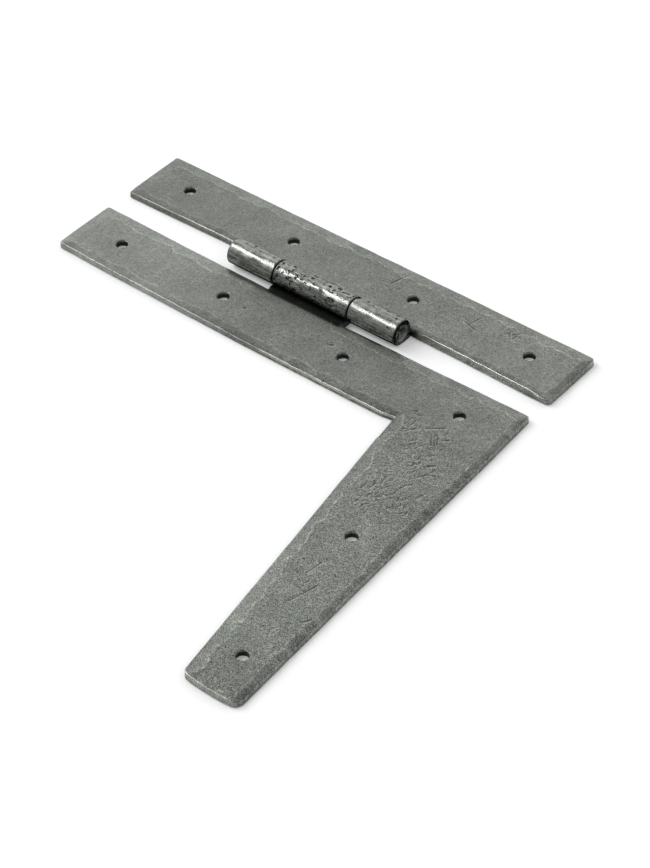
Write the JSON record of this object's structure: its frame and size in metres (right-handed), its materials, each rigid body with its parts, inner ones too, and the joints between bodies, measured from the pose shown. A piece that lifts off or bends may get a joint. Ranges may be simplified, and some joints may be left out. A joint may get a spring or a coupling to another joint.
{
  "type": "h-l hinge",
  "caption": "Forged H-L surface hinge: a straight leaf and a leaf with a long splayed arm, joined by rolled knuckles on a riveted pin.",
  "frame": {"origin": "under the pin axis, at the middle of the leaves' length, on the plane of both leaves' backs", "axes": "+X along the pin towards the arm, +Y from the pin towards the H leaf, +Z out of the face that carries the knuckles"},
  "size_m": [0.2364, 0.2341, 0.0117],
  "materials": {
    "leaf_steel": "hammered mild steel with a grey pewter patina, burnished on the edges",
    "pin_steel": "rough steel rod, ends hammered over"
  },
  "bodies": {
    "h_side": {"h_leaf": "leaf_steel", "hinge_pin": "pin_steel"},
    "l_side": {"l_leaf": "leaf_steel"}
  },
  "joints": [
    {"name": "leaf_swing", "type": "hinge", "parent": "h_side", "child": "l_side", "pos_m": [0, 0, 0.00585], "axis": [-1, 0, 0], "range_deg": [-90, 180]}
  ]
}
